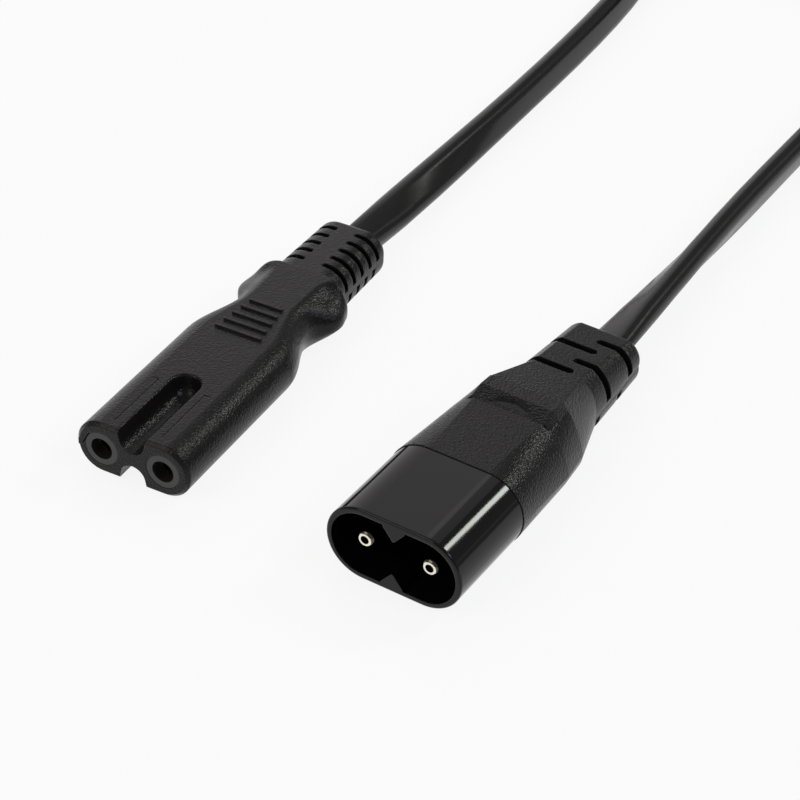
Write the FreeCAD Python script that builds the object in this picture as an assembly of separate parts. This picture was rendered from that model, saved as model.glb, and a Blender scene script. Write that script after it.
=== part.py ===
import FreeCAD, Part
import math
import os

# Figure eight mains extension lead: a socket connector and its mating plug on one flat twin cord.
# Millimetres, +Z up. The origin is the middle of the flat underside of the socket connector's body,
# +Y runs back from the socket's face along the cord, and everything lies on the plane z = 0.
# Each connector is drawn about its own axis, with y counted back from its face, and then placed.

Vector = FreeCAD.Vector

# Interface that both ends share
pole_spacing = 8.6
pin_radius = 1.18
seat_gap = 0.03
cut_reach = 3.0

# Flat twin cord and its two cores
cord_width = 5.3
cord_thickness = 3.2
core_radius = 1.0
conductor_radius = 0.55
core_spacing = 2.1
core_bend_radius = 6.0

# Socket connector: body, grip and ears
socket_half_width = 7.9
socket_half_height = 3.65
socket_bevel = 0.45
body_end_y = 23.6
waist_half_width = 5.3
waist_y = 32.6
ear_half_width = 7.55
ear_y = 37.3
ear_early = 1.12
ear_drop = 0.24
ear_rear_y = 39.9
spine_half_width = 2.75
neck_half_width = 5.1
neck_spine_half_width = 3.4
neck_y = 40.7
grip_stations = 12
grip_trim = 0.03

# Socket connector: grooves between the lobes, scribed lines and grip ridges
web_half_height = 0.95
groove_radius = 1.75
groove_draft = 12.0
groove_length = 13.6
groove_wall_lean = 0.35
groove_edge_round = 0.4
line_inset = 1.1
line_start_y = 1.5
line_end_y = 11.0
line_hook = 0.9
line_width = 0.14
line_depth = 0.09
ridge_count = 5
ridge_first_y = 23.9
ridge_pitch = 1.7
ridge_width = 0.42
ridge_height = 0.28
ridge_root = 0.4
ridge_longest_half = 3.3
ridge_shortest_half = 2.4
flash_length = 1.1
flash_height = 0.9
flash_reach = 0.15

# Socket connector: strain relief
relief_start_y = 40.0
relief_end_y = 54.0
relief_half_width = 5.0
relief_end_half_width = 4.9
relief_top = 3.6
relief_end_top = 3.15
relief_bottom = 3.6
relief_corner = 2.9
relief_end_round = 1.1
relief_slot_count = 5
relief_slot_first_y = 42.9
relief_slot_pitch = 2.15
relief_slot_width = 0.85
relief_spine_half = 1.3
relief_side_rib = 0.8
relief_wall = 1.1

# Socket connector: hard insert and rolled contacts
nose_radius = 2.25
nose_length = 14.5
face_slot_width = 0.14
face_slot_length = 2.0
face_slot_depth = 0.8
face_slot_shift = 0.3
face_slot_turn = 152.0
mouth_radius = 1.475
mouth_depth = 1.6
insert_half_width = 6.5
insert_half_height = 2.4
insert_corner = 1.2
insert_end_y = 21.0
insert_key_y = 17.0
insert_key_width = 1.6
insert_key_depth = 0.6
contact_inner_radius = 1.2
contact_wall = 0.3
contact_length = 11.5
contact_slit = 0.5
contact_strip_width = 1.6
crimp_y = 17.5
crimp_length = 5.0
crimp_wall = 0.3
strand_reach = 4.4
strip_lap = 0.5
core_stand_off = 0.4

# Plug connector: hard shroud, cavity and pin seats
shroud_half_width = 8.98
shroud_half_height = 5.0
shroud_length = 13.7
shroud_rim_round = 0.3
cavity_wall = 0.72
cavity_depth = 11.0
key_half_width = 1.45
key_tip = 2.4
key_tip_half = 0.12
key_foot = 0.25
block_half_width = 7.0
block_half_height = 3.4
block_corner = 2.6
block_end_y = 22.0
block_key_y = 16.4
block_key_width = 1.8
block_key_depth = 0.7
pin_tip_y = 0.9
pin_tip_radius = 0.8
pin_tip_length = 0.75
pin_hole_radius = 0.55
pin_hole_depth = 4.0
pin_tip_bulge = 0.09
pin_shank_radius = 1.4
pin_collar_y = 16.0
pin_collar_radius = 1.65
pin_collar_length = 1.2
pin_crimp_y = 19.0

# Plug connector: soft cover. Its flanks lean in above their widest line, which sinks towards the rear.
cover_stand = 0.1
cover_shoulder_y = 24.9
cover_shoulder_flat = 4.7
cover_shoulder_half_width = 8.75
cover_shoulder_sink = 0.8
cover_shoulder_bulge = 0.87
cover_crease_y = 29.5
cover_crease_rise = 0.42
cover_crease_flat = 4.9
cover_crease_half_width = 8.1
cover_crease_sink = 1.0
cover_crease_bulge = 0.55
cover_low_flat = 4.0
cover_low_bulge = 1.15
cover_neck_y = 37.0
cover_neck_flat = 3.3
cover_neck_half_width = 5.8
cover_neck_top = 3.95
cover_neck_bottom = 4.75
cover_neck_sink = 1.2
cover_neck_bulge = 0.8
cover_end_y = 50.0
cover_end_flat = 3.4
cover_end_half_width = 5.15
cover_end_top = 2.2
cover_end_bottom = 4.1
cover_end_bulge = 0.7
cover_end_corner = 2.0
cover_end_round = 1.0
cover_slot_first_y = 37.6
cover_slot_pitch = 6.1
cover_slot_stagger = 2.8
cover_slot_width = 1.25
cover_slot_count = 2
cover_slot_reach = 1.9
cover_slot_start = 0.4
cover_slot_split = 1.2
cover_side_rib = 0.9
cover_wall = 1.3

# Plug connector: thumb step with its finger catch
step_front_y = 24.9
step_top_y = 27.2
step_height = 0.62
step_half_width = 4.9
catch_foot_y = 26.1
catch_foot_radius = 4.4
catch_wall_reach = 1.05

# Where the plug connector lies, seen from the socket's frame
body_rest_y = 18.0
plug_x = 35.7
plug_face_y = -19.5
plug_turn = -4.2

# Cord exits, drawn in each connector's own frame
core_bend_socket_y = 25.5
core_bend_plug_y = 25.5
core_slope_socket = 3.54
core_slope_plug = 2.77
core_cover = 1.5
socket_sheath_y = core_bend_socket_y + core_slope_socket * (pole_spacing - core_spacing) / 2.0 + core_cover
plug_sheath_y = core_bend_plug_y + core_slope_plug * (pole_spacing - core_spacing) / 2.0 + core_cover

# Coil of the cord's remaining length, on edge in turns side by side, and its tie
coil_x = 20.0
coil_y = 180.0
coil_mean_radius = 26.5
coil_turn_gap = 0.1
coil_turns_wide = 4
coil_turns_high = 2
tie_thickness = 0.8
tie_width = 5.0
tie_clearance = 0.15
twist_length = 26.0
twist_steps = 4

# Free cord on the floor: the corners that each side is led round, and its lead into the coil
twist_lead = 4.0
settle = 0.1
socket_near_x = 1.2
socket_far_x = 2.2
socket_far_y = 119.0
socket_bend_x = -1.5
socket_bend_y = 146.0
plug_near_x = 40.3
plug_far_x = 42.75
plug_far_y = 101.0
plug_bend_x = 46.0
plug_bend_y = 140.0
coil_lead = 17.0


def at(x, y, z):
    return Vector(x, y, z)


def ease(share):
    # 0 to 1 with a level start and a level end
    held = min(max(share, 0.0), 1.0)
    return held * held * (3.0 - 2.0 * held)


def eased(y, start_y, start_value, end_y, end_value):
    return start_value + (end_value - start_value) * ease((y - start_y) / (end_y - start_y))


def box(x_low, x_high, y_low, y_high, z_low, z_high):
    size = (x_high - x_low, y_high - y_low, z_high - z_low)
    return Part.makeBox(size[0], size[1], size[2], at(x_low, y_low, z_low))


def rod(x, radius, y_low, y_high, z=0.0):
    return Part.makeCylinder(radius, y_high - y_low, at(x, y_low, z), at(0, 1, 0))


def corner_arc(centre, radius, start_degrees):
    # a quarter turn in the plane across the axis, counted from +X towards +Z
    places = []
    for step in (0, 45, 90):
        angle = math.radians(start_degrees + step)
        places.append(at(centre.x + radius * math.cos(angle), centre.y, centre.z + radius * math.sin(angle)))
    return Part.Arc(places[0], places[1], places[2]).toShape()


def rounded_wire(y, half_width, top, bottom, radius):
    # rectangle with round corners across the axis at y, from z = -bottom to z = top
    inner = half_width - radius
    arcs = [
        corner_arc(at(inner, y, top - radius), radius, 0),
        corner_arc(at(-inner, y, top - radius), radius, 90),
        corner_arc(at(-inner, y, radius - bottom), radius, 180),
        corner_arc(at(inner, y, radius - bottom), radius, 270),
    ]
    edges = []
    for index, arc in enumerate(arcs):
        following = arcs[(index + 1) % 4]
        edges.append(arc)
        edges.append(Part.makeLine(arc.Vertexes[-1].Point, following.Vertexes[0].Point))
    return Part.Wire(edges)


def rounded_bar(y_low, y_high, half_width, half_height, radius):
    wire = rounded_wire(y_low, half_width, half_height, half_height, radius)
    return Part.Face(wire).extrude(at(0, y_high - y_low, 0))


def loft(wires, ruled=False):
    return Part.makeLoft(wires, True, ruled)


def mirrored(shape):
    return shape.mirror(at(0, 0, 0), at(1, 0, 0))


def route(points, radii=None):
    # straight runs joined by tangent arcs. Without given radii each arc is as large as its runs allow:
    # 0.45 of the shorter run over the tangent of half the turn.
    edges = []
    used = []
    start = points[0]
    for index in range(1, len(points) - 1):
        corner = points[index]
        back = points[index - 1] - corner
        ahead = points[index + 1] - corner
        half_turn = (math.pi - back.getAngle(ahead)) / 2.0
        if radii:
            radius = radii[index - 1]
        else:
            radius = 0.45 * min(back.Length, ahead.Length) / math.tan(half_turn)
        reach = radius * math.tan(half_turn)
        back.normalize()
        ahead.normalize()
        enter = corner + back * reach
        leave = corner + ahead * reach
        middle_line = back + ahead
        middle_line.normalize()
        middle = corner + middle_line * (radius / math.cos(half_turn) - radius)
        edges.append(Part.makeLine(start, enter))
        edges.append(Part.Arc(enter, middle, leave).toShape())
        used.append(radius)
        start = leave
    edges.append(Part.makeLine(start, points[-1]))
    return Part.Wire(edges), used


def round_tube(path, radius):
    first = path.Edges[0]
    start = first.Vertexes[0].Point
    circle = Part.makeCircle(radius, start, first.tangentAt(first.FirstParameter))
    return path.makePipeShell([Part.Wire(circle)], True, False)


# Socket connector

def grip_half_width(y):
    if y < waist_y:
        return eased(y, body_end_y, socket_half_width, waist_y, waist_half_width)
    if y < ear_y:
        # the ear fills out a little before its middle, so that it is blunt and not pointed
        full_y = waist_y + (ear_y - waist_y) / ear_early
        return eased(y, waist_y, waist_half_width, full_y, ear_half_width)
    share = (y - ear_y) / (neck_y - ear_y)
    return neck_half_width + (ear_half_width - neck_half_width) * math.sqrt(max(1.0 - share * share, 0.0))


def blank_half_height():
    # before the top and the underside are trimmed flat
    return socket_half_height + grip_trim


def spine_half(y):
    # half of the flat strip along the top
    if y < waist_y:
        return eased(y, body_end_y, socket_half_width - blank_half_height(), waist_y, spine_half_width)
    if y < ear_y:
        return spine_half_width
    return eased(y, ear_y, spine_half_width, ear_rear_y, neck_spine_half_width)


def side_drop(y):
    # beside the ears the section sinks below an ellipse, so that they lie lower than the spine
    if y < ear_y:
        return eased(y, waist_y, 0.0, ear_y, ear_drop)
    return eased(y, ear_y, ear_drop, neck_y, 0.0)


def side_curve(y, way_x, way_z):
    # a quarter of the section: from the edge of the flat strip round to the widest point
    flat = spine_half(y)
    reach = grip_half_width(y) - flat
    drop = side_drop(y)
    points = [at(way_x * flat, y, way_z * blank_half_height())]
    for degrees in (67.5, 45.0, 22.5):
        angle = math.radians(degrees)
        out = math.cos(angle)
        z = blank_half_height() * math.sin(angle) * (1.0 - drop * ease(out * 1.6))
        points.append(at(way_x * (flat + reach * out), y, way_z * z))
    points.append(at(way_x * (flat + reach), y, 0))
    counts = [float(index) for index in range(len(points))]
    curve = Part.BSplineCurve()
    curve.interpolate(Points=points, InitialTangent=at(way_x, 0, 0), FinalTangent=at(0, 0, -way_z),
                      Parameters=counts)
    return curve.toShape()


def grip_section(y):
    flat = spine_half(y)
    top = blank_half_height()
    edges = [
        Part.makeLine(at(-flat, y, top), at(flat, y, top)),
        side_curve(y, 1.0, 1.0),
        side_curve(y, 1.0, -1.0),
        Part.makeLine(at(flat, y, -top), at(-flat, y, -top)),
        side_curve(y, -1.0, -1.0),
        side_curve(y, -1.0, 1.0),
    ]
    return Part.Wire(Part.__sortEdges__(edges))


def body_section(y):
    # the straight body's outline: the same flat strips, and sides as quarter rounds
    flat = socket_half_width - blank_half_height()
    top = blank_half_height()
    edges = [
        Part.makeLine(at(-flat, y, top), at(flat, y, top)),
        corner_arc(at(flat, y, 0), top, 0),
        corner_arc(at(flat, y, 0), top, 270),
        Part.makeLine(at(flat, y, -top), at(-flat, y, -top)),
        corner_arc(at(-flat, y, 0), top, 180),
        corner_arc(at(-flat, y, 0), top, 90),
    ]
    return Part.Wire(Part.__sortEdges__(edges))


def grip_body():
    # a straight body and a shaped grip, their skins sewn together where the grip starts,
    # then trimmed to the flat top and underside
    blank_reach = socket_half_width + 1.0
    straight = Part.Face(body_section(0.0)).extrude(at(0, body_end_y, 0))
    pace = (neck_y - body_end_y) / grip_stations
    stations = [body_end_y + pace * (step + 1) for step in range(grip_stations)]
    sections = [body_section(body_end_y)] + [grip_section(y) for y in stations]
    shaped = Part.makeLoft(sections, True, False, False, 3)
    skins = []
    for face in straight.Faces + shaped.Faces:
        if all(abs(vertex.Y - body_end_y) < 0.001 for vertex in face.Vertexes):
            continue
        skins.append(face)
    shell = Part.Shell(skins)
    shell.sewShape()
    blank = Part.makeSolid(shell)
    front_edges = [edge for edge in blank.Edges if edge.BoundBox.YMax < 0.01]
    blank = blank.makeChamfer(socket_bevel, front_edges)
    slab = box(-blank_reach, blank_reach, -1.0, neck_y + 1.0, -socket_half_height, socket_half_height)
    return blank.common(slab)


def groove_cutter():
    # U section with drafted walls and rounded upper edges, and a half round end that leans back as it rises
    draft = math.radians(groove_draft)
    centre_z = web_half_height + groove_radius
    wall_x = groove_radius * math.cos(draft)
    wall_z = centre_z - groove_radius * math.sin(draft)
    rim_z = socket_half_height + 1.0
    rim_x = wall_x + (rim_z - wall_z) * math.tan(draft)
    lean = math.radians(-45.0 - groove_draft / 2.0)
    middle = at(groove_radius * math.cos(lean), 0, centre_z + groove_radius * math.sin(lean))
    floor = at(0, 0, web_half_height)
    tangent = at(wall_x, 0, wall_z)
    edge_z = socket_half_height + seat_gap / 2.0
    edge = at(wall_x + (edge_z - wall_z) * math.tan(draft), 0, edge_z)
    lip = at(edge.x + groove_radius, 0, edge_z)
    wall = route([tangent, edge, lip], [groove_edge_round])[0].Edges[:2]
    flare_x = wall[1].Vertexes[1].Point.x
    half = [Part.Arc(floor, middle, tangent).toShape()] + wall + [
        Part.makeLine(at(flare_x, 0, edge_z), at(flare_x, 0, rim_z)),
        Part.makeLine(at(flare_x, 0, rim_z), at(0, 0, rim_z)),
        Part.makeLine(at(0, 0, rim_z), floor),
    ]
    face = Part.Face(Part.Wire(half))
    end_y = groove_length - rim_x + groove_wall_lean
    end = face.revolve(at(0, 0, 0), at(0, 0, 1), 180)
    end.translate(at(0, end_y, 0))
    run = face.extrude(at(0, end_y + 1.0, 0))
    run.translate(at(0, -1.0, 0))
    return run.fuse(mirrored(run)).fuse(end)


def scribed_lines():
    # fine mould lines along the top of each lobe, with a short return at the back
    near_x = pole_spacing / 2.0 - line_inset
    low = socket_half_height - line_depth
    high = socket_half_height + line_width
    long_line = box(near_x, near_x + line_width, line_start_y, line_end_y, low, high)
    hook = box(near_x, near_x + line_hook, line_end_y, line_end_y + line_width, low, high)
    left = mirrored(long_line.fuse(hook))
    return [long_line.fuse(hook), left]


def ridge(y, half_length):
    top = socket_half_height
    return box(-half_length, half_length, y, y + ridge_width, top - ridge_root, top + ridge_height)


def grip_ridges():
    ridges = []
    for index in range(ridge_count):
        share = index / (ridge_count - 1)
        half = ridge_longest_half + (ridge_shortest_half - ridge_longest_half) * share
        ridges.append(ridge(ridge_first_y + index * ridge_pitch, half))
    return ridges


def slot_plate(x_start, x_end, y_middle, width, z_low, z_high):
    # a slot that starts at x_start with a round end and runs out past x_end
    radius = width / 2.0
    way = 1.0 if x_end > x_start else -1.0
    centre_x = x_start + way * radius
    low_x = min(centre_x, x_end)
    high_x = max(centre_x, x_end)
    plate = box(low_x, high_x, y_middle - radius, y_middle + radius, z_low, z_high)
    end = Part.makeCylinder(radius, z_high - z_low, at(centre_x, y_middle, z_low), at(0, 0, 1))
    return plate.fuse(end)


def relief_centre():
    return (relief_end_top - relief_bottom) / 2.0


def relief_body():
    start = rounded_wire(relief_start_y, relief_half_width, relief_top, relief_bottom, relief_corner)
    end = rounded_wire(relief_end_y, relief_end_half_width, relief_end_top, relief_bottom, relief_corner)
    relief = loft([start, end], True)
    rear = [edge for edge in relief.Edges if edge.BoundBox.YMin > relief_end_y - 0.01]
    return relief.makeFillet(relief_end_round, rear)


def relief_slots():
    # pairs of slots above the side rib, and between them pairs below it. A plain core stays inside.
    core_half = relief_half_width - relief_wall
    core = rounded_wire(relief_start_y, core_half, relief_end_top - relief_wall,
                        relief_bottom - relief_wall, relief_corner - relief_wall / 2.0)
    core = Part.Face(core).extrude(at(0, relief_end_y - relief_start_y, 0))
    reach = relief_half_width + cut_reach
    rib = relief_side_rib / 2.0
    slots = []
    for index in range(relief_slot_count):
        y = relief_slot_first_y + index * relief_slot_pitch
        for way in (1.0, -1.0):
            slots.append(slot_plate(way * relief_spine_half, way * reach, y, relief_slot_width, rib, reach))
        if index < relief_slot_count - 1:
            low_y = y + relief_slot_pitch / 2.0
            for way in (1.0, -1.0):
                slots.append(slot_plate(way * relief_spine_half, way * reach, low_y, relief_slot_width,
                                        -reach, -rib))
    return Part.makeCompound(slots).cut(core)


def parting_flash():
    # thin tab left where the mould halves met, at the side of the left lobe
    start = at(-socket_half_width + socket_bevel - flash_reach, 0.0, -flash_height / 2.0)
    inner_x = -socket_half_width + 1.0
    corners = [
        start,
        at(inner_x, 0.0, -flash_height / 2.0),
        at(inner_x, flash_length, -flash_height / 2.0),
        start,
    ]
    return Part.Face(Part.makePolygon(corners)).extrude(at(0, 0, flash_height))


def face_slot():
    # narrow straight gap in the face, beside the ring of the left mouth
    half = face_slot_length / 2.0
    slot = box(nose_radius, nose_radius + face_slot_width, -1.0, face_slot_depth,
               face_slot_shift - half, face_slot_shift + half)
    slot.rotate(at(0, 0, 0), at(0, 1, 0), -face_slot_turn)
    slot.translate(at(-pole_spacing / 2.0, 0, 0))
    return slot


def insert_shape(gap=0.0):
    half = pole_spacing / 2.0
    nose_end = nose_length + 0.5
    noses = rod(half, nose_radius + gap, -gap, nose_end).fuse(rod(-half, nose_radius + gap, -gap, nose_end))
    block = rounded_bar(nose_length - gap, insert_end_y + gap, insert_half_width + gap,
                        insert_half_height + gap, insert_corner)
    key_low = insert_key_y + gap
    key_high = insert_key_y + insert_key_width - gap
    inner = rounded_bar(key_low, key_high, insert_half_width - insert_key_depth + gap,
                        insert_half_height - insert_key_depth + gap, insert_corner - insert_key_depth / 2.0)
    ring = rounded_bar(key_low, key_high, insert_half_width + 1.0, insert_half_height + 1.0, insert_corner)
    return noses.fuse(block.cut(ring.cut(inner)))


def socket_insert():
    outer_radius = contact_inner_radius + contact_wall + seat_gap
    body = insert_shape()
    for x in (-pole_spacing / 2.0, pole_spacing / 2.0):
        body = body.cut(rod(x, mouth_radius, -1.0, mouth_depth + 1.0))
        body = body.cut(rod(x, outer_radius, mouth_depth, insert_end_y + 1.0))
    return body


def socket_contact(x):
    # rolled sleeve with a slit, a strip behind it and a crimp barrel on the strands
    outer = contact_inner_radius + contact_wall
    end_y = mouth_depth + seat_gap + contact_length
    start_y = mouth_depth + seat_gap
    sleeve = rod(x, outer, start_y, end_y).cut(rod(x, contact_inner_radius, start_y - 1.0, end_y + 1.0))
    slit = box(x - contact_slit / 2.0, x + contact_slit / 2.0, start_y - 1.0, end_y + 1.0, -outer - 1.0, 0.0)
    sleeve = sleeve.cut(slit)
    half_strip = contact_strip_width / 2.0
    strip_end = crimp_y + strip_lap
    strip = box(x - half_strip, x + half_strip, end_y - strip_lap, strip_end, conductor_radius, outer)
    strip = strip.common(rod(x, outer, start_y, crimp_y + 2.0))
    crimp_outer = conductor_radius + crimp_wall
    crimp = rod(x, crimp_outer, crimp_y, crimp_y + crimp_length)
    shape = sleeve.fuse(strip).fuse(crimp)
    shape = shape.cut(rod(x, contact_inner_radius, start_y - 1.0, end_y))
    bore = rod(x, conductor_radius + seat_gap, crimp_y, crimp_y + crimp_length + 1.0)
    return shape.cut(bore)


def core_route(x, start_y, bend_y, sheath_y, end_y, rear_z):
    # along the contact's axis, across to the sheath, then along the sheath to the exit
    side = core_spacing / 2.0 * (1.0 if x > 0 else -1.0)
    points = [at(x, start_y, 0), at(x, bend_y, 0), at(side, sheath_y, rear_z), at(side, end_y, rear_z)]
    return route(points, [core_bend_radius, core_bend_radius])[0]


def conductor(x, start_y, bend_y, sheath_y, end_y, rear_z):
    return round_tube(core_route(x, start_y, bend_y, sheath_y, end_y, rear_z), conductor_radius)


def core(x, start_y, bend_y, sheath_y, end_y, rear_z):
    path = core_route(x, start_y, bend_y, sheath_y, end_y, rear_z)
    return round_tube(path, core_radius).cut(round_tube(path, conductor_radius + seat_gap))


def core_pocket(x, start_y, bend_y, sheath_y, end_y, rear_z):
    return round_tube(core_route(x, start_y, bend_y, sheath_y, end_y, rear_z), core_radius + seat_gap)


def sheath_bar(y_low, y_high, z, gap=0.0):
    bar = rounded_bar(y_low, y_high, cord_width / 2.0 + gap, cord_thickness / 2.0 + gap,
                      cord_thickness / 2.0 + gap - 0.02)
    bar.translate(at(0, 0, z))
    return bar


def socket_wiring(x):
    start_y = crimp_y + crimp_length + core_stand_off
    return x, start_y, core_bend_socket_y, socket_sheath_y - core_cover, relief_end_y, relief_centre()


def plug_wiring(x):
    start_y = pin_crimp_y + crimp_length + core_stand_off
    return x, start_y, core_bend_plug_y, plug_sheath_y - core_cover, cover_end_y, cover_centre()


def sheath_end(y_low, y_high, z, pockets):
    bar = sheath_bar(y_low, y_high, z)
    for pocket in pockets:
        bar = bar.cut(pocket)
    return bar


def wiring_pocket(wiring, crimp_start, sheath_y, end_y, rear_z):
    # the hollow that the soft cover was moulded round: crimps, cores and the end of the sheath
    half = pole_spacing / 2.0
    crimp_outer = conductor_radius + crimp_wall + seat_gap
    start_y = crimp_start + crimp_length
    shape = sheath_bar(sheath_y, end_y + 1.0, rear_z, seat_gap)
    for x in (-half, half):
        shape = shape.fuse(core_pocket(*wiring(x)))
        shape = shape.fuse(rod(x, crimp_outer, start_y - crimp_length, start_y + seat_gap))
        shape = shape.fuse(rod(x, conductor_radius + seat_gap, start_y, start_y + 1.0))
    return shape


def socket_overmould():
    body = grip_body().fuse(relief_body()).cut(relief_slots())
    for bar in grip_ridges():
        body = body.fuse(bar)
    body = body.fuse(parting_flash())
    groove = groove_cutter()
    under = groove.mirror(at(0, 0, 0), at(0, 0, 1))
    body = body.cut(groove).cut(under)
    for line in scribed_lines():
        body = body.cut(line)
    body = body.cut(insert_shape(seat_gap)).cut(face_slot())
    return body.cut(wiring_pocket(socket_wiring, crimp_y, socket_sheath_y, relief_end_y, relief_centre()))


# Plug connector

def cover_centre():
    return (cover_end_top - cover_end_bottom) / 2.0


def shroud_rim():
    shell = rounded_bar(0, shroud_length, shroud_half_width, shroud_half_height, shroud_half_height - 0.02)
    front = [edge for edge in shell.Edges if edge.BoundBox.YMax < 0.01]
    return shell.makeFillet(shroud_rim_round, front)


def cavity():
    half_width = shroud_half_width - cavity_wall
    half_height = shroud_half_height - cavity_wall
    hollow = rounded_bar(-1.0, cavity_depth, half_width, half_height, half_height - 0.02)
    for way in (1.0, -1.0):
        root_z = way * (half_height + key_foot)
        corners = [
            at(-key_half_width, -1.0, way * (half_height - key_foot)),
            at(-key_tip_half, -1.0, way * key_tip),
            at(key_tip_half, -1.0, way * key_tip),
            at(key_half_width, -1.0, way * (half_height - key_foot)),
            at(key_half_width, -1.0, root_z),
            at(-key_half_width, -1.0, root_z),
            at(-key_half_width, -1.0, way * (half_height - key_foot)),
        ]
        key = Part.Face(Part.makePolygon(corners)).extrude(at(0, cavity_depth + 2.0, 0))
        hollow = hollow.cut(key)
    return hollow


def block_shape(gap=0.0):
    bar = rounded_bar(shroud_length - 0.5, block_end_y + gap, block_half_width + gap,
                      block_half_height + gap, block_corner)
    key_low = block_key_y + gap
    key_high = block_key_y + block_key_width - gap
    inner = rounded_bar(key_low, key_high, block_half_width - block_key_depth + gap,
                        block_half_height - block_key_depth + gap, block_corner - block_key_depth / 2.0)
    ring = rounded_bar(key_low, key_high, block_half_width + 1.0, block_half_height + 1.0, block_corner)
    return bar.cut(ring.cut(inner))


def plug_shroud():
    body = shroud_rim().cut(cavity()).fuse(block_shape())
    for x in (-pole_spacing / 2.0, pole_spacing / 2.0):
        body = body.cut(rod(x, pin_shank_radius + seat_gap, cavity_depth - 1.0, block_end_y + 1.0))
        body = body.cut(rod(x, pin_collar_radius + seat_gap, pin_collar_y, block_end_y + 1.0))
    return body


def plug_pin(x):
    # hollow turned pin: rounded open tip, collar in the housing and a crimp barrel
    tip_end = pin_tip_y + pin_tip_length
    crimp_end = pin_crimp_y + crimp_length
    crimp_outer = conductor_radius + crimp_wall
    collar_end = pin_collar_y + seat_gap + pin_collar_length
    flat_tip = at(pin_tip_radius, pin_tip_y, 0)
    shoulder = at(pin_radius, tip_end, 0)
    bulge = at((pin_tip_radius + pin_radius) / 2.0 + pin_tip_bulge, pin_tip_y + pin_tip_length * 0.35, 0)
    edges = [
        Part.makeLine(at(pin_hole_radius, pin_tip_y, 0), flat_tip),
        Part.Arc(flat_tip, bulge, shoulder).toShape(),
    ]
    corners = [
        shoulder,
        at(pin_radius, cavity_depth, 0),
        at(pin_shank_radius, cavity_depth, 0),
        at(pin_shank_radius, pin_collar_y + seat_gap, 0),
        at(pin_collar_radius, pin_collar_y + seat_gap, 0),
        at(pin_collar_radius, collar_end, 0),
        at(crimp_outer, collar_end, 0),
        at(crimp_outer, crimp_end, 0),
        at(conductor_radius + seat_gap, crimp_end, 0),
        at(conductor_radius + seat_gap, pin_crimp_y, 0),
        at(0, pin_crimp_y, 0),
        at(0, pin_hole_depth, 0),
        at(pin_hole_radius, pin_hole_depth, 0),
        at(pin_hole_radius, pin_tip_y, 0),
    ]
    edges.extend(Part.makePolygon(corners).Edges)
    pin = Part.Face(Part.Wire(edges)).revolve(at(0, 0, 0), at(0, 1, 0), 360)
    pin.translate(at(x, 0, 0))
    return pin


def bowed(start, finish, bulge):
    # an arc between two points of a section, standing out from their chord by the bulge
    chord = finish - start
    outward = at(-chord.z, 0, chord.x)
    outward.normalize()
    middle = (start + finish) * 0.5
    if outward.x * middle.x < 0:
        outward = outward * -1.0
    return Part.Arc(start, middle + outward * bulge, finish).toShape()


def cover_wire(y, flat, top, half_width, sink, bulge, low_flat, bottom, low_bulge):
    # flat top and underside, and on each side an upper and a lower arc that meet at the widest line
    edges = [
        Part.makeLine(at(-flat, y, top), at(flat, y, top)),
        bowed(at(flat, y, top), at(half_width, y, -sink), bulge),
        bowed(at(half_width, y, -sink), at(low_flat, y, -bottom), low_bulge),
        Part.makeLine(at(low_flat, y, -bottom), at(-low_flat, y, -bottom)),
        bowed(at(-low_flat, y, -bottom), at(-half_width, y, -sink), low_bulge),
        bowed(at(-half_width, y, -sink), at(-flat, y, top), bulge),
    ]
    return Part.Wire(edges)


def cover_base():
    return shroud_half_height + cover_stand


def cover_body():
    base = cover_base()
    seam_half = shroud_half_width + cover_stand
    seam_bulge = base * (1.0 - math.sqrt(0.5))
    seam_flat = seam_half - base
    crease_top = base + cover_crease_rise
    wires = [
        cover_wire(shroud_length, seam_flat, base, seam_half, 0.0, seam_bulge, seam_flat, base, seam_bulge),
        cover_wire(cover_shoulder_y, cover_shoulder_flat, base, cover_shoulder_half_width,
                   cover_shoulder_sink, cover_shoulder_bulge, cover_low_flat, base, cover_low_bulge),
        cover_wire(cover_crease_y, cover_crease_flat, crease_top, cover_crease_half_width,
                   cover_crease_sink, cover_crease_bulge, cover_low_flat, base, cover_low_bulge),
        cover_wire(cover_neck_y, cover_neck_flat, cover_neck_top, cover_neck_half_width,
                   cover_neck_sink, cover_neck_bulge, cover_neck_flat, cover_neck_bottom, cover_neck_bulge),
        cover_wire(cover_end_y, cover_end_flat, cover_end_top, cover_end_half_width,
                   -cover_centre(), cover_end_bulge, cover_end_flat, cover_end_bottom, cover_end_bulge),
    ]
    body = loft(wires, True)
    rear = [edge for edge in body.Edges if edge.BoundBox.YMin > cover_end_y - 0.01]
    return body.makeFillet(cover_end_round, rear)


def cover_slots():
    reach = cover_neck_half_width + cut_reach
    rib = cover_side_rib / 2.0
    split_z = cover_centre()
    radius = cover_end_corner - cover_wall / 2.0
    core_wire = rounded_wire(cover_neck_y - 1.0, cover_end_half_width - cover_wall,
                             cover_end_top - cover_wall * 0.6, cover_end_bottom - cover_wall * 0.6, radius)
    core_bar = Part.Face(core_wire).extrude(at(0, cover_end_y - cover_neck_y + 2.0, 0))
    slots = []
    for index in range(cover_slot_count):
        near_y = cover_slot_first_y + index * cover_slot_pitch
        far_y = near_y + cover_slot_stagger
        width = cover_slot_width
        slots.append(slot_plate(cover_slot_reach, -reach, near_y, width, split_z + rib, reach))
        slots.append(slot_plate(cover_slot_start, reach, far_y, width, split_z + rib, reach))
        slots.append(slot_plate(-cover_slot_reach, reach, near_y, width, -reach, split_z - rib))
        slots.append(slot_plate(-cover_slot_start, -reach, far_y, width, -reach, split_z - rib))
    return Part.makeCompound(slots).cut(core_bar)


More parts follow.
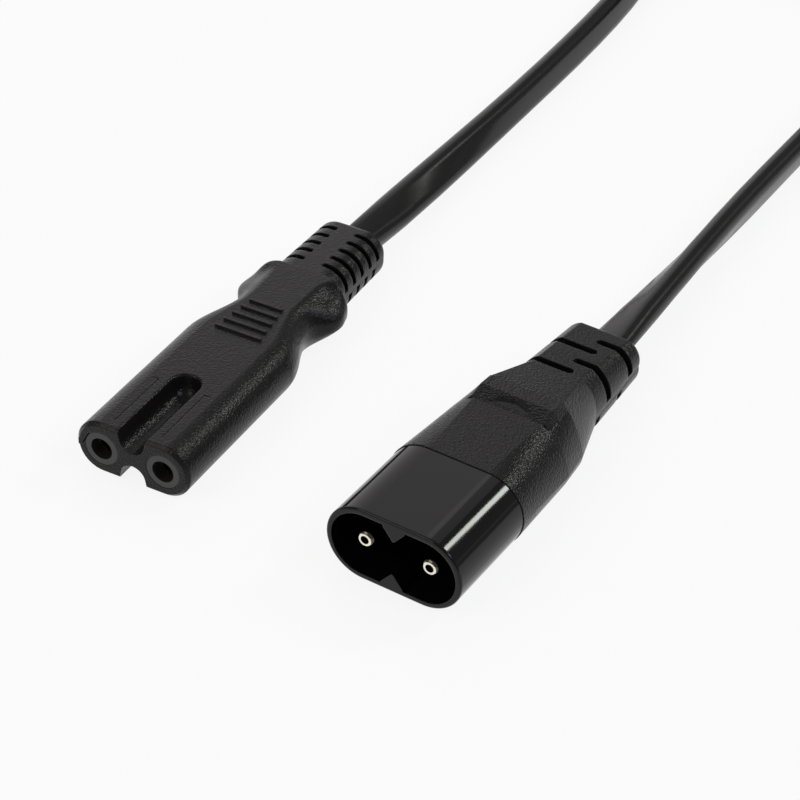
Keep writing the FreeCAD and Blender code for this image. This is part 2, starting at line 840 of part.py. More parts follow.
def thumb_step():
    # a ramp up from the flat top, then a gentle fall to the crease, with a scoop for the finger in the ramp
    base = cover_base()
    foot = base - 1.0
    profile = [
        at(0, step_front_y, foot),
        at(0, step_front_y, base),
        at(0, step_top_y, base + step_height),
        at(0, cover_crease_y, base + cover_crease_rise),
        at(0, cover_crease_y, foot),
        at(0, step_front_y, foot),
    ]
    bar = Part.Face(Part.makePolygon(profile)).extrude(at(2.0 * step_half_width, 0, 0))
    bar.translate(at(-step_half_width, 0, 0))
    scoop_y = catch_foot_y - catch_foot_radius
    scoop_height = 2.0 * step_height
    scoop_top = catch_foot_radius + catch_wall_reach * 2.0
    scoop = Part.makeCone(catch_foot_radius, scoop_top, scoop_height, at(0, scoop_y, base), at(0, 0, 1))
    return bar.cut(scoop)


def plug_overmould():
    body = cover_body().fuse(thumb_step()).cut(cover_slots())
    body = body.cut(block_shape(seat_gap))
    return body.cut(wiring_pocket(plug_wiring, pin_crimp_y, plug_sheath_y, cover_end_y, cover_centre()))


# Placing

def place_socket(shape):
    shape.translate(at(0, -body_rest_y, socket_half_height))
    return shape


def plug_height():
    # the cover's flat underside rests on the floor
    return cover_base()


def place_plug(shape):
    shape.rotate(at(0, 0, 0), at(0, 0, 1), plug_turn)
    shape.translate(at(plug_x, plug_face_y, plug_height()))
    return shape


def plug_point(x, y, z):
    turn = math.radians(plug_turn)
    return at(plug_x + x * math.cos(turn) - y * math.sin(turn),
              plug_face_y + x * math.sin(turn) + y * math.cos(turn),
              z + plug_height())


# Free cord, in the row's own frame

def turn_pitch():
    return cord_thickness + coil_turn_gap


def layer_height(layer):
    return tie_thickness + cord_width * (layer + 0.5)


def outer_turn_radius():
    return coil_mean_radius + turn_pitch() * (coil_turns_wide - 1) / 2.0


def run_height():
    # the cord stands on edge on the floor
    return cord_width / 2.0


def socket_side_route():
    # leaves the socket's strain relief, runs almost straight out of sight and joins the coil's left side
    side_x = coil_x - outer_turn_radius()
    exit_y = relief_end_y - body_rest_y
    return [
        at(0, exit_y, relief_centre() + socket_half_height),
        at(socket_near_x, exit_y + twist_length + twist_lead, run_height() + settle),
        at(socket_far_x, socket_far_y, run_height()),
        at(socket_bend_x, socket_bend_y, run_height()),
        at(side_x, coil_y - coil_lead, layer_height(0)),
        at(side_x, coil_y, layer_height(0)),
    ]


def plug_side_route():
    # leaves the plug's strain relief and joins the coil's upper layer on the right
    side_x = coil_x + outer_turn_radius()
    leave = plug_point(0, cover_end_y, cover_centre())
    return [
        leave,
        at(plug_near_x, leave.y + twist_length + twist_lead, run_height() + settle),
        at(plug_far_x, plug_far_y, run_height()),
        at(plug_bend_x, plug_bend_y, run_height()),
        at(side_x, coil_y - coil_lead, layer_height(1)),
        at(side_x, coil_y, layer_height(1)),
    ]


def cord_section(centre, heading, roll_degrees):
    # the flat cord's outline across a heading in plan: flat at a roll of 0, on edge at 90
    wire = rounded_wire(0.0, cord_width / 2.0, cord_thickness / 2.0, cord_thickness / 2.0,
                        cord_thickness / 2.0 - 0.02)
    wire.rotate(at(0, 0, 0), at(0, 1, 0), roll_degrees)
    wire.rotate(at(0, 0, 0), at(0, 0, 1), math.degrees(math.atan2(heading.y, heading.x)) - 90.0)
    wire.translate(centre)
    return wire


def twisted_stretch(start, unit):
    # the quarter twist right behind a strain relief
    sections = []
    for step in range(twist_steps + 1):
        share = step / twist_steps
        centre = start + unit * (twist_length * share)
        sections.append(cord_section(centre, unit, 90.0 * ease(share)))
    return loft(sections)


def swept_run(face, edge):
    # carries the cord's section along one line or arc: the solid, and the section at its far end
    start = edge.Vertexes[0].Point
    finish = edge.Vertexes[-1].Point
    moved = face.copy()
    if isinstance(edge.Curve, Part.Line):
        moved.translate(finish - start)
        return face.extrude(finish - start), moved
    centre = edge.Curve.Center
    axis = (start - centre).cross(finish - centre)
    degrees = math.degrees((start - centre).getAngle(finish - centre))
    moved.rotate(centre, axis, degrees)
    return face.revolve(centre, axis, degrees), moved


def free_cord(points):
    # a quarter twist, then on edge along runs and tangent arcs
    unit = points[1] - points[0]
    unit.normalize()
    twist_end = points[0] + unit * twist_length
    path, radii = route([twist_end] + points[1:])
    face = Part.Face(cord_section(twist_end, unit, 90.0))
    solids = [twisted_stretch(points[0], unit)]
    for edge in path.Edges:
        solid, face = swept_run(face, edge)
        solids.append(solid)
    swept = sum(solid.Volume for solid in solids[1:])
    print("arc radii", [round(radius, 1) for radius in radii])
    print("swept volume", round(swept, 1), "section by length", round(face.Area * path.Length, 1))
    print("route length", round(path.Length + twist_length, 1))
    return solids[0].multiFuse(solids[1:])


def cord_coil(tubes):
    inner = coil_mean_radius - turn_pitch() * coil_turns_wide / 2.0
    outer = coil_mean_radius + turn_pitch() * coil_turns_wide / 2.0
    height = cord_width * coil_turns_high
    foot = at(coil_x, coil_y, tie_thickness)
    ring = Part.makeCylinder(outer, height, foot).cut(Part.makeCylinder(inner, height, foot))
    for tube in tubes:
        ring = ring.cut(tube)
    return ring


def coil_tie():
    half = turn_pitch() * coil_turns_wide / 2.0 + tie_clearance
    low_y = coil_y - coil_mean_radius - half
    high_y = coil_y - coil_mean_radius + half
    top = tie_thickness + cord_width * coil_turns_high
    x_low = coil_x - tie_width / 2.0
    x_high = coil_x + tie_width / 2.0
    outside = box(x_low, x_high, low_y - tie_thickness, high_y + tie_thickness, 0.0, top + tie_thickness)
    return outside.cut(box(x_low - 1.0, x_high + 1.0, low_y, high_y, tie_thickness, top))


def save(name, shape):
    clean = shape.removeSplitter()
    if not clean.isValid():
        print("not valid:", name)
    print(name, "solids", len(clean.Solids), "volume", round(clean.Volume, 2))
    clean.exportStep(os.path.join("parts", name + ".step"))


def save_wiring(end_name, place, wiring, sheath_y, end_y, rear_z):
    pockets = []
    half = pole_spacing / 2.0
    for side, x in (("left", -half), ("right", half)):
        values = wiring(x)
        strands = (values[0], values[1] - strand_reach) + values[2:]
        pockets.append(core_pocket(*values))
        save(end_name + "_core_" + side, place(core(*values)))
        save(end_name + "_conductor_" + side, place(conductor(*strands)))
    save(end_name + "_sheath_end", place(sheath_end(sheath_y, end_y, rear_z, pockets)))


def main():
    os.makedirs("parts", exist_ok=True)
    half = pole_spacing / 2.0
    save("socket_overmould", place_socket(socket_overmould()))
    save("socket_insert", place_socket(socket_insert()))
    save("plug_overmould", place_plug(plug_overmould()))
    save("plug_shroud", place_plug(plug_shroud()))
    for side, x in (("left", -half), ("right", half)):
        save("socket_contact_" + side, place_socket(socket_contact(x)))
        save("plug_pin_" + side, place_plug(plug_pin(x)))
    save_wiring("socket", place_socket, socket_wiring, socket_sheath_y, relief_end_y, relief_centre())
    save_wiring("plug", place_plug, plug_wiring, plug_sheath_y, cover_end_y, cover_centre())
    socket_side = free_cord(socket_side_route())
    plug_side = free_cord(plug_side_route())
    save("cord_socket_side", socket_side)
    save("cord_plug_side", plug_side)
    save("cord_coil", cord_coil([socket_side, plug_side]))
    save("coil_tie", coil_tie())


main()
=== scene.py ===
import bmesh
import bpy
import math
from mathutils import Matrix, Vector
from mathutils.bvhtree import BVHTree


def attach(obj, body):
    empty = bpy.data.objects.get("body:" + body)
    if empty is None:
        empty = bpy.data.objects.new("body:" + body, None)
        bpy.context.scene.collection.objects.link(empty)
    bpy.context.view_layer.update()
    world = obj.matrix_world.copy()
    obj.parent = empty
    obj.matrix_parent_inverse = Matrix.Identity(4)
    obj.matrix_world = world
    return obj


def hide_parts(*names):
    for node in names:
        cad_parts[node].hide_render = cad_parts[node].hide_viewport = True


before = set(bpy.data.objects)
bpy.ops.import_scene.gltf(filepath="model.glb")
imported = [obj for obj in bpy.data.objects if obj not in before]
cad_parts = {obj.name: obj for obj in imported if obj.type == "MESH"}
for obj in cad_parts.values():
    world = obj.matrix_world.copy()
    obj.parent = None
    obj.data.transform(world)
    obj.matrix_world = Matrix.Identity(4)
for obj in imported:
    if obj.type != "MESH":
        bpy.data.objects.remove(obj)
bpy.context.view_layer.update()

# Figure eight mains extension lead. The camera, the cord and the studio come first, then the finishes.

MM = 0.001


# Small helpers

def srgb(text):
    # a colour as it is seen, "#rrggbb", turned to the linear values that the shader reads
    values = []
    for place in (1, 3, 5):
        level = int(text[place:place + 2], 16) / 255.0
        values.append(level / 12.92 if level <= 0.04045 else ((level + 0.055) / 1.055) ** 2.4)
    return values + [1.0]


def add(material, kind, settings=None, links=None):
    # one node with its sockets and properties set, and its inputs joined to (node, output) pairs
    node = material.node_tree.nodes.new(kind)
    for name, value in (settings or {}).items():
        if isinstance(name, str) and hasattr(node, name):
            setattr(node, name, value)
        else:
            node.inputs[name].default_value = value
    for name, (other, output) in (links or {}).items():
        material.node_tree.links.new(other.outputs[output], node.inputs[name])
    return node


def new_material(name):
    material = bpy.data.materials.new(name)
    material.use_nodes = True
    material.node_tree.nodes.clear()
    return material


def finish_material(material, surface):
    output = add(material, "ShaderNodeOutputMaterial")
    material.node_tree.links.new(surface.outputs[0], output.inputs["Surface"])
    return material


def dress(material, *nodes):
    for name in nodes:
        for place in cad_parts[name].material_slots:
            place.material = material


# Camera, at the photograph's angle

# where it stands and what it looks at, in millimetres, and its roll in degrees
CAMERA_PLACE = (126.6, -198.7, 179.5)
CAMERA_TARGET = (19.5, 12.8, 0.0)
CAMERA_ROLL = 2.26
FOCAL_LENGTH = 106.9


def make_camera():
    data = bpy.data.cameras.new("view_camera")
    camera = bpy.data.objects.new("view_camera", data)
    bpy.context.scene.collection.objects.link(camera)
    place = Vector(CAMERA_PLACE) * MM
    target = Vector(CAMERA_TARGET) * MM
    turn = (target - place).to_track_quat("-Z", "Y").to_matrix().to_4x4()
    roll = Matrix.Rotation(math.radians(CAMERA_ROLL), 4, "Z")
    camera.matrix_world = Matrix.Translation(place) @ turn @ roll
    data.lens = FOCAL_LENGTH
    data.sensor_width = 36.0
    data.clip_start = 0.01
    data.clip_end = 20.0
    bpy.context.scene.camera = camera


make_camera()


# Cord: one flat twin lead from the socket connector, round the put-away coil, back to the plug connector

CORD_WIDTH = 5.3
CORD_THICKNESS = 3.2
COIL_CENTRE = (20.0, 180.0)
TURN_PITCH = 3.3
TURNS_WIDE = 4
OUTER_TURN = 31.45
LOW_LAYER = 3.45
HIGH_LAYER = 8.75
COIL_TURNS = 7.5
POINTS_PER_TURN = 24
# turns spent at the outside before the cord steps inwards, and turns that it takes to climb a layer
OUTSIDE_TURN = 0.25
CLIMB_TURNS = 0.9
# steps in each half round side of the flat cord
SIDE_STEPS = 12

# each point: x, y, z in millimetres and the roll of the flat section in degrees
SOCKET_SIDE = [
    (0.0, 36.0, 3.425, 0.0),
    (1.2, 66.0, 2.75, 84.0),
    (2.2, 119.0, 2.65, 72.0),
    (-1.5, 146.0, 2.65, 90.0),
    (-11.45, 163.0, 3.45, 90.0),
]
PLUG_SIDE = [
    (51.45, 163.0, 8.75, 90.0),
    (46.0, 140.0, 2.65, 90.0),
    (42.75, 101.0, 2.65, 78.0),
    (40.3, 60.37, 2.75, 84.0),
    (39.36, 30.37, 4.15, 0.0),
]


def coil_points():
    # clockwise from the left side: inwards along the lower layer, up at the inside, then outwards along the
    # upper layer
    points = []
    total = int(COIL_TURNS * POINTS_PER_TURN)
    half = COIL_TURNS / 2.0
    span = TURNS_WIDE - 1
    for step in range(total + 1):
        turns = step / POINTS_PER_TURN
        inward = min(max(half - abs(turns - half) - OUTSIDE_TURN, 0.0), span)
        radius = (OUTER_TURN - TURN_PITCH * inward) / math.cos(math.pi / POINTS_PER_TURN)
        climb = min(max((turns - half) / CLIMB_TURNS + 0.5, 0.0), 1.0)
        climb = climb * climb * (3.0 - 2.0 * climb)
        angle = math.pi - 2.0 * math.pi * turns
        points.append((
            COIL_CENTRE[0] + radius * math.cos(angle),
            COIL_CENTRE[1] + radius * math.sin(angle),
            LOW_LAYER + (HIGH_LAYER - LOW_LAYER) * climb,
            90.0,
        ))
    return points


def flat_profile():
    # outline of the flat cord, as two half rounds and the flats between them
    data = bpy.data.curves.new("cord_outline", "CURVE")
    data.dimensions = "2D"
    spline = data.splines.new("POLY")
    half_flat = (CORD_WIDTH - CORD_THICKNESS) / 2.0
    radius = CORD_THICKNESS / 2.0
    places = []
    for side in (1.0, -1.0):
        for step in range(SIDE_STEPS + 1):
            angle = math.radians(-90.0 + 180.0 / SIDE_STEPS * step)
            places.append((side * (half_flat + radius * math.cos(angle)), side * radius * math.sin(angle)))
    # clockwise, so that the swept faces point outwards
    places.reverse()
    spline.points.add(len(places) - 1)
    for point, (x, y) in zip(spline.points, places):
        point.co = (x * MM, y * MM, 0.0, 1.0)
    spline.use_cyclic_u = True
    return bpy.data.objects.new("cord_outline", data)


def make_cord():
    route = SOCKET_SIDE + coil_points() + PLUG_SIDE
    data = bpy.data.curves.new("mains_cord_route", "CURVE")
    data.dimensions = "3D"
    data.twist_mode = "Z_UP"
    data.resolution_u = 6
    spline = data.splines.new("NURBS")
    spline.points.add(len(route) - 1)
    for point, (x, y, z, roll) in zip(spline.points, route):
        point.co = (x * MM, y * MM, z * MM, 1.0)
        point.tilt = math.radians(roll)
    spline.order_u = 3
    spline.use_endpoint_u = True
    line = bpy.data.objects.new("mains_cord_route", data)
    bpy.context.scene.collection.objects.link(line)
    bpy.context.view_layer.update()
    followed = bpy.data.meshes.new_from_object(line.evaluated_get(bpy.context.evaluated_depsgraph_get()))
    bpy.data.meshes.remove(followed)
    outline = flat_profile()
    bpy.context.scene.collection.objects.link(outline)
    data.bevel_mode = "OBJECT"
    data.bevel_object = outline
    data.use_fill_caps = True
    bpy.context.view_layer.update()
    mesh = bpy.data.meshes.new_from_object(line.evaluated_get(bpy.context.evaluated_depsgraph_get()))
    mesh.name = "mains_cord"
    for thing in (line, outline):
        bpy.data.objects.remove(thing)
    cord = bpy.data.objects.new("mains_cord", mesh)
    bpy.context.scene.collection.objects.link(cord)
    for polygon in mesh.polygons:
        polygon.use_smooth = True
    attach(cord, "root")
    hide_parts("cord_socket_side", "cord_plug_side", "cord_coil")
    return cord


cord = make_cord()


# Thumb step: the two cheeks that slope from the raised step down to the plug cover's flanks

# the plug's own frame, as in the CAD: its face's centre in millimetres and its turn in degrees. There, u
# runs across the plug, v from its face to its cord and w upwards
PLUG_PLACE = (35.7, -19.5, 5.1)
PLUG_TURN = -4.2
# the step's ramp and end along v, its rise and half its width
RAMP_START = 24.9
RAMP_END = 27.2
RAMP_RISE = 0.62
STEP_HALF_WIDTH = 4.9
STEP_END = 29.4
# a cheek's crest, foot and hidden root across the plug, and how it meets the cover's surface
CHEEK_LEAD = 0.1
CHEEK_TOP = 5.05
CHEEK_FOOT = 5.75
CHEEK_ROOT = 4.4
CHEEK_INSET = 0.15
CHEEK_PROUD = 0.012
CHEEK_SUNK = 0.04
CREST_RADIUS = 0.12
ABOVE_COVER = 12.0


def plug_point(u, v, w):
    # from the plug's own frame, in millimetres, to the shared one, in metres
    turn = math.radians(PLUG_TURN)
    x = PLUG_PLACE[0] + u * math.cos(turn) - v * math.sin(turn)
    y = PLUG_PLACE[1] + u * math.sin(turn) + v * math.cos(turn)
    return Vector((x, y, PLUG_PLACE[2] + w)) * MM


def cover_height(tree, u, v):
    # the plug cover's upper surface at a place, in its own frame
    hit = tree.ray_cast(plug_point(u, v, ABOVE_COVER), Vector((0.0, 0.0, -1.0)))[0]
    return hit.z / MM - PLUG_PLACE[2]


def thumb_cheek(tree, name, side):
    # three cross sections along the step, bridged, closed at the ends and eased along the crest
    shape = bmesh.new()
    rings = []
    for v in (RAMP_START + CHEEK_LEAD, RAMP_END, STEP_END):
        top = cover_height(tree, side * (STEP_HALF_WIDTH - CHEEK_INSET), v) + CHEEK_PROUD
        foot = cover_height(tree, side * CHEEK_FOOT, v) - CHEEK_SUNK
        corners = [(CHEEK_ROOT, top), (CHEEK_TOP, top), (CHEEK_FOOT, foot), (CHEEK_ROOT, foot)]
        places = [shape.verts.new(plug_point(side * u, v, w)) for u, w in corners]
        rings.append([shape.edges.new(pair) for pair in zip(places, places[1:] + places[:1])])
    for near, far in zip(rings, rings[1:]):
        bmesh.ops.bridge_loops(shape, edges=near + far)
    bmesh.ops.holes_fill(shape, edges=rings[0] + rings[-1], sides=4)
    bmesh.ops.recalc_face_normals(shape, faces=shape.faces)
    crest_places = [ring[1].verts[0] for ring in rings]
    crests = [edge for edge in shape.edges if all(end in crest_places for end in edge.verts)]
    bmesh.ops.bevel(shape, geom=crests, offset=CREST_RADIUS * MM, segments=3, affect="EDGES",
                    profile=0.5, material=-1)
    mesh = bpy.data.meshes.new(name)
    shape.to_mesh(mesh)
    shape.free()
    cheek = bpy.data.objects.new(name, mesh)
    bpy.context.scene.collection.objects.link(cheek)
    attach(cheek, "root")
    return cheek


cover_tree = BVHTree.FromObject(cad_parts["plug_overmould"], bpy.context.evaluated_depsgraph_get())
cheeks = [
    thumb_cheek(cover_tree, "thumb_cheek_left", -1.0),
    thumb_cheek(cover_tree, "thumb_cheek_right", 1.0),
]


# Studio: a white floor that keeps a soft shadow, a grey room, and the lamps that the gloss mirrors

# share of the floor that is plain white to camera, gloss and glass. The rest is paint, which takes the
# object's shadow
FLOOR_WHITE_SHARE = 0.88
FLOOR_REACH = 4.0
ROOM_LIGHT = 0.32
# the lamps stand on a circle of this radius, in metres, round a point between the connectors
LAMP_DISTANCE = 1.2
LAMP_CENTRE = (20.0, 0.0, 5.0)
# each lamp: its bearing from +Y towards +X and its height above the table, its spread across and up, all
# in degrees, and the brightness and colour that a mirror shows
LAMPS = [
    ("panel_back_left", -43.0, 31.0, 44.0, 68.0, 0.8, "#fdf8fb"),
    ("panel_overhead", -4.0, 52.0, 26.0, 20.0, 0.5, "#fdf8fb"),
    ("panel_front_left", -148.0, 42.0, 36.0, 26.0, 2.4, "#fffaf4"),
    ("lamp_back_right", 36.0, 37.5, 6.5, 12.0, 25.0, "#f4faf0"),
    ("lamp_right", 84.0, 42.0, 12.0, 12.0, 17.0, "#dcdaff"),
    ("strip_right", 60.0, 9.5, 50.0, 2.5, 0.35, "#ffffff"),
]


def any_ray(material, rays, names):
    # 1 for any of the named kinds of ray
    found = (rays, names[0])
    for name in names[1:]:
        either = add(material, "ShaderNodeMath", {"operation": "MAXIMUM"}, {0: found, 1: (rays, name)})
        found = (either, 0)
    return found


def make_floor():
    material = new_material("studio_floor_matt_white")
    material.cycles.emission_sampling = "NONE"
    rays = add(material, "ShaderNodeLightPath")
    seen = any_ray(material, rays, ["Is Camera Ray", "Is Glossy Ray", "Is Transmission Ray"])
    share = add(material, "ShaderNodeMath", {"operation": "MULTIPLY", 1: FLOOR_WHITE_SHARE}, {0: seen})
    paint = add(material, "ShaderNodeBsdfDiffuse", {"Color": srgb("#f0f0f0")})
    white = add(material, "ShaderNodeEmission", {"Color": (1.0, 1.0, 1.0, 1.0), "Strength": 1.0})
    mixed = add(material, "ShaderNodeMixShader", {}, {0: (share, 0), 1: (paint, 0), 2: (white, 0)})
    finish_material(material, mixed)
    mesh = bpy.data.meshes.new("studio_floor")
    sheet = bmesh.new()
    bmesh.ops.create_grid(sheet, x_segments=1, y_segments=1, size=FLOOR_REACH)
    sheet.to_mesh(mesh)
    sheet.free()
    floor = bpy.data.objects.new("studio_floor", mesh)
    floor.data.materials.append(material)
    bpy.context.scene.collection.objects.link(floor)


def make_world():
    # an even grey room, the same to every ray
    world = bpy.data.worlds.new("studio_surround")
    bpy.context.scene.world = world
    world.use_nodes = True
    world.node_tree.nodes.clear()
    light = add(world, "ShaderNodeBackground", {"Color": (1.0, 1.0, 1.0, 1.0), "Strength": ROOM_LIGHT})
    output = add(world, "ShaderNodeOutputWorld")
    world.node_tree.links.new(light.outputs[0], output.inputs["Surface"])


def soft_lamp(name, bearing, height, across, up, radiance, tint):
    # a square cornered panel turned to the connectors
    data = bpy.data.lights.new(name, "AREA")
    data.shape = "RECTANGLE"
    data.size = 2.0 * LAMP_DISTANCE * math.tan(math.radians(across / 2.0))
    data.size_y = 2.0 * LAMP_DISTANCE * math.tan(math.radians(up / 2.0))
    data.energy = radiance * math.pi * data.size * data.size_y
    data.color = srgb(tint)[:3]
    lamp = bpy.data.objects.new(name, data)
    level = math.cos(math.radians(height))
    way = Vector((math.sin(math.radians(bearing)) * level, math.cos(math.radians(bearing)) * level,
                  math.sin(math.radians(height))))
    lamp.location = Vector(LAMP_CENTRE) * MM + way * LAMP_DISTANCE
    lamp.rotation_euler = (-way).to_track_quat("-Z", "Y").to_euler()
    bpy.context.scene.collection.objects.link(lamp)


make_floor()
make_world()
for lamp in LAMPS:
    soft_lamp(*lamp)


# Finishes

# depths of the grain on the covers and on the thumb step's ramp, in metres
GRAIN_DEPTH = 0.00009
COARSE_DEPTH = 0.00018
RAMP_ROUGHNESS = 0.15
# the cover's top in the plug's own frame, and how far under it the ramp's finish still starts
COVER_TOP = 5.1
COVER_TOP_PLAY = 0.12
# the pins' end faces in that frame, and how deep the bright end face reaches before the pins' sides are
# painted dark as shade
PIN_TIP = 0.9
PIN_FACE_DEPTH = 0.03
# widths that moulded edges are eased by, in metres
VINYL_EDGE = 0.00022
SHELL_EDGE = 0.00015
# noise scales, in features a metre
VINYL_GRAIN = 3500.0      # 0.29 mm, about as wide as the specks in the photograph
VINYL_PATCHES = 150.0     # 6.7 mm, uneven polish of the mould
SHELL_WAVES = 220.0       # 4.5 mm, sink and flow of the hard shell
INSERT_WAVES = 900.0      # 1.1 mm
PIN_MARKS = 2500.0        # 0.4 mm, drawn coarser than turning marks are, so that it shows
CONTACT_MARKS = 1500.0    # 0.67 mm, rolling and wear
DRAWING_MARKS = 900.0     # 1.1 mm, marks of the sheath's extrusion
CORE_MARKS = 800.0        # 1.25 mm
STRAND_MARKS = 3000.0     # 0.33 mm


def plug_parts(material, place):
    # a place on the surface in the plug's own frame, in millimetres
    local = add(material, "ShaderNodeMapping", {"vector_type": "TEXTURE"}, {"Vector": (place, "Object")})
    local.inputs["Location"].default_value = [value * MM for value in PLUG_PLACE]
    local.inputs["Rotation"].default_value = (0.0, 0.0, math.radians(PLUG_TURN))
    local.inputs["Scale"].default_value = (MM, MM, MM)
    return add(material, "ShaderNodeSeparateXYZ", {}, {"Vector": (local, "Vector")})


def coarse_patch(material, place):
    # 1 on the thumb step's ramp, where the mould was eroded more deeply, and 0 elsewhere
    parts = plug_parts(material, place)
    side = add(material, "ShaderNodeMath", {"operation": "ABSOLUTE"}, {0: (parts, "X")})
    tests = [
        add(material, "ShaderNodeMath", {"operation": "LESS_THAN", 1: STEP_HALF_WIDTH}, {0: (side, 0)}),
        add(material, "ShaderNodeMath", {"operation": "GREATER_THAN", 1: RAMP_START}, {0: (parts, "Y")}),
        add(material, "ShaderNodeMath", {"operation": "LESS_THAN", 1: RAMP_END}, {0: (parts, "Y")}),
    ]
    slope = RAMP_RISE / (RAMP_END - RAMP_START)
    level = add(material, "ShaderNodeMath", {"operation": "MULTIPLY_ADD", 1: -slope, 2: slope * RAMP_START},
                {0: (parts, "Y")})
    above = add(material, "ShaderNodeMath", {"operation": "ADD"}, {0: (parts, "Z"), 1: (level, 0)})
    lowest = COVER_TOP - COVER_TOP_PLAY
    tests.append(add(material, "ShaderNodeMath", {"operation": "GREATER_THAN", 1: lowest}, {0: (above, 0)}))
    mask = tests[0]
    for test in tests[1:]:
        mask = add(material, "ShaderNodeMath", {"operation": "MULTIPLY"}, {0: (mask, 0), 1: (test, 0)})
    return mask


def grained_vinyl(name, coarse_ramp):
    # soft injection moulded vinyl: near black and satin, a spark eroded grain that breaks a small lamp's
    # mirrored light into specks, and moulded edges that are never quite sharp
    material = new_material(name)
    place = add(material, "ShaderNodeTexCoord")
    grain = add(material, "ShaderNodeTexNoise", {"Scale": VINYL_GRAIN, "Detail": 1.5, "Roughness": 0.5},
                {"Vector": (place, "Object")})
    patches = add(material, "ShaderNodeTexNoise", {"Scale": VINYL_PATCHES, "Detail": 2.0},
                  {"Vector": (place, "Object")})
    colour = add(material, "ShaderNodeValToRGB", {}, {"Fac": (patches, "Fac")})
    colour.color_ramp.elements[0].color = srgb("#131111")
    colour.color_ramp.elements[1].color = srgb("#191716")
    rough = add(material, "ShaderNodeMapRange",
                {"From Min": 0.35, "From Max": 0.65, "To Min": 0.2, "To Max": 0.27},
                {"Value": (patches, "Fac")})
    soft = add(material, "ShaderNodeBevel", {"samples": 6, "Radius": VINYL_EDGE})
    bump = add(material, "ShaderNodeBump", {"Strength": 1.0, "Distance": GRAIN_DEPTH},
               {"Height": (grain, "Fac"), "Normal": (soft, 0)})
    if coarse_ramp:
        ramp = coarse_patch(material, place)
        depth = add(material, "ShaderNodeMapRange", {"To Min": GRAIN_DEPTH, "To Max": COARSE_DEPTH},
                    {"Value": (ramp, 0)})
        material.node_tree.links.new(depth.outputs[0], bump.inputs["Distance"])
        rough = add(material, "ShaderNodeMix", {"data_type": "FLOAT", 3: RAMP_ROUGHNESS},
                    {0: (ramp, 0), 2: (rough, 0)})
    surface = add(material, "ShaderNodeBsdfPrincipled", {"IOR": 1.5, "Specular IOR Level": 0.18},
                  {"Base Color": (colour, 0), "Roughness": (rough, 0), "Normal": (bump, 0)})
    return finish_material(material, surface)


def gloss_shell():
    # hard moulded thermoplastic: black, smooth and glossy, with a very slight waviness
    material = new_material("hard_shell_gloss_black")
    place = add(material, "ShaderNodeTexCoord")
    waves = add(material, "ShaderNodeTexNoise", {"Scale": SHELL_WAVES, "Detail": 2.0},
                {"Vector": (place, "Object")})
    rough = add(material, "ShaderNodeMapRange", {"To Min": 0.07, "To Max": 0.12},
                {"Value": (waves, "Fac")})
    soft = add(material, "ShaderNodeBevel", {"samples": 6, "Radius": SHELL_EDGE})
    bump = add(material, "ShaderNodeBump", {"Strength": 0.04, "Distance": 0.0002},
               {"Height": (waves, "Fac"), "Normal": (soft, 0)})
    surface = add(material, "ShaderNodeBsdfPrincipled",
                  {"Base Color": srgb("#0c0a0c"), "IOR": 1.5, "Specular IOR Level": 0.25},
                  {"Roughness": (rough, 0), "Normal": (bump, 0)})
    return finish_material(material, surface)


def insert_plastic():
    # the socket's hard insert, whose two rings show round the mouths: smooth, with its colour painted a
    # shade greyer than the cover as a painted sheen of the smoother plastic
    material = new_material("hard_insert_satin_black")
    place = add(material, "ShaderNodeTexCoord")
    waves = add(material, "ShaderNodeTexNoise", {"Scale": INSERT_WAVES, "Detail": 2.0},
                {"Vector": (place, "Object")})
    rough = add(material, "ShaderNodeMapRange", {"To Min": 0.3, "To Max": 0.4},
                {"Value": (waves, "Fac")})
    # painted sheen: a greyer base colour than the cover's, so that the rings stand out
    surface = add(material, "ShaderNodeBsdfPrincipled", {"Base Color": srgb("#242322"), "IOR": 1.5},
                  {"Roughness": (rough, 0)})
    return finish_material(material, surface)


def plated_brass():
    # turned brass with a thin nickel plating: the tip's end face is bright, and the sides behind it are
    # painted dark as shade, standing in for the dark mouth that they mirror
    material = new_material("pin_nickel_plated_brass")
    place = add(material, "ShaderNodeTexCoord")
    marks = add(material, "ShaderNodeTexNoise", {"Scale": PIN_MARKS, "Detail": 2.0},
                {"Vector": (place, "Object")})
    rough = add(material, "ShaderNodeMapRange", {"To Min": 0.06, "To Max": 0.11},
                {"Value": (marks, "Fac")})
    parts = plug_parts(material, place)
    # painted shade: behind the end face the pin takes a dark colour instead of its plated one
    painted_shade_side = add(material, "ShaderNodeMath", {"operation": "GREATER_THAN", 1: PIN_TIP + PIN_FACE_DEPTH},
                 {0: (parts, "Y")})
    colour = add(material, "ShaderNodeMix", {"data_type": "RGBA", 6: srgb("#f0ead8"), 7: srgb("#57544c")},
                 {0: (painted_shade_side, 0)})
    surface = add(material, "ShaderNodeBsdfPrincipled", {"Metallic": 1.0},
                  {"Base Color": (colour, 2), "Roughness": (rough, 0)})
    return finish_material(material, surface)


def dull_brass():
    # rolled sheet brass deep in the mouths, rough and with a dark colour
    material = new_material("contact_sheet_brass_dull")
    place = add(material, "ShaderNodeTexCoord")
    marks = add(material, "ShaderNodeTexNoise", {"Scale": CONTACT_MARKS, "Detail": 2.0},
                {"Vector": (place, "Object")})
    rough = add(material, "ShaderNodeMapRange", {"To Min": 0.35, "To Max": 0.5},
                {"Value": (marks, "Fac")})
    surface = add(material, "ShaderNodeBsdfPrincipled", {"Base Color": srgb("#57503c"), "Metallic": 1.0},
                  {"Roughness": (rough, 0)})
    return finish_material(material, surface)


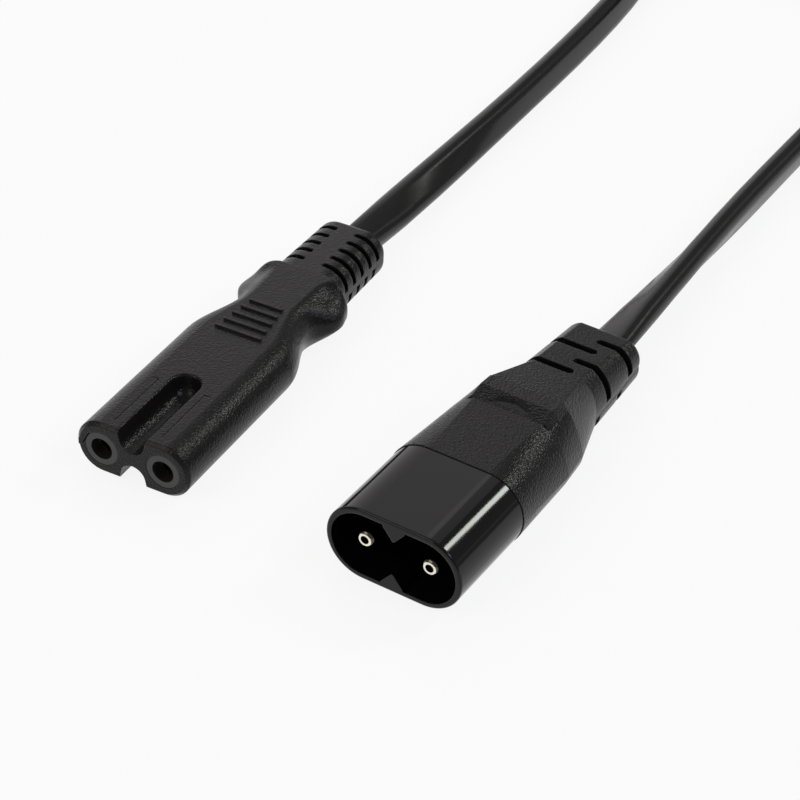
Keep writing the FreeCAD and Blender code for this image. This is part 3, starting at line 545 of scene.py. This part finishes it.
def sheath_vinyl():
    # extruded flexible vinyl: smoother than the moulded ends, with faint drawing marks
    material = new_material("cord_sheath_vinyl_black")
    place = add(material, "ShaderNodeTexCoord")
    marks = add(material, "ShaderNodeTexNoise", {"Scale": DRAWING_MARKS, "Detail": 2.0},
                {"Vector": (place, "Object")})
    rough = add(material, "ShaderNodeMapRange", {"To Min": 0.2, "To Max": 0.28},
                {"Value": (marks, "Fac")})
    bump = add(material, "ShaderNodeBump", {"Strength": 0.08, "Distance": 0.0001},
               {"Height": (marks, "Fac")})
    surface = add(material, "ShaderNodeBsdfPrincipled",
                  {"Base Color": srgb("#151413"), "IOR": 1.5, "Specular IOR Level": 0.2},
                  {"Roughness": (rough, 0), "Normal": (bump, 0)})
    return finish_material(material, surface)


def core_vinyl(name, colour):
    # coloured insulation of one core
    material = new_material(name)
    place = add(material, "ShaderNodeTexCoord")
    marks = add(material, "ShaderNodeTexNoise", {"Scale": CORE_MARKS, "Detail": 2.0},
                {"Vector": (place, "Object")})
    rough = add(material, "ShaderNodeMapRange", {"To Min": 0.35, "To Max": 0.45},
                {"Value": (marks, "Fac")})
    surface = add(material, "ShaderNodeBsdfPrincipled", {"Base Color": srgb(colour), "IOR": 1.5},
                  {"Roughness": (rough, 0)})
    return finish_material(material, surface)


def bare_copper():
    # bunched copper strands, dulled a little
    material = new_material("bare_copper_strands")
    place = add(material, "ShaderNodeTexCoord")
    marks = add(material, "ShaderNodeTexNoise", {"Scale": STRAND_MARKS, "Detail": 2.0},
                {"Vector": (place, "Object")})
    rough = add(material, "ShaderNodeMapRange", {"To Min": 0.25, "To Max": 0.45},
                {"Value": (marks, "Fac")})
    surface = add(material, "ShaderNodeBsdfPrincipled", {"Base Color": srgb("#c97b55"), "Metallic": 1.0},
                  {"Roughness": (rough, 0)})
    return finish_material(material, surface)


def make_materials():
    vinyl = grained_vinyl("soft_vinyl_grained_black", False)
    cover = grained_vinyl("soft_vinyl_plug_cover_black", True)
    shell = gloss_shell()
    metal = plated_brass()
    sheath = sheath_vinyl()
    copper = bare_copper()
    dress(vinyl, "socket_overmould", "coil_tie")
    dress(cover, "plug_overmould")
    for cheek in cheeks:
        cheek.data.materials.append(vinyl)
    dress(shell, "plug_shroud")
    dress(insert_plastic(), "socket_insert")
    dress(metal, "plug_pin_left", "plug_pin_right")
    dress(dull_brass(), "socket_contact_left", "socket_contact_right")
    dress(sheath, "socket_sheath_end", "plug_sheath_end")
    brown = core_vinyl("core_vinyl_brown", "#6b3a1e")
    blue = core_vinyl("core_vinyl_blue", "#2f5fa8")
    dress(brown, "socket_core_left", "plug_core_left")
    dress(blue, "socket_core_right", "plug_core_right")
    dress(copper, "socket_conductor_left", "socket_conductor_right", "plug_conductor_left",
          "plug_conductor_right")
    cord.data.materials.clear()
    cord.data.materials.append(sheath)


make_materials()

bpy.context.scene.view_settings.view_transform = "Standard"
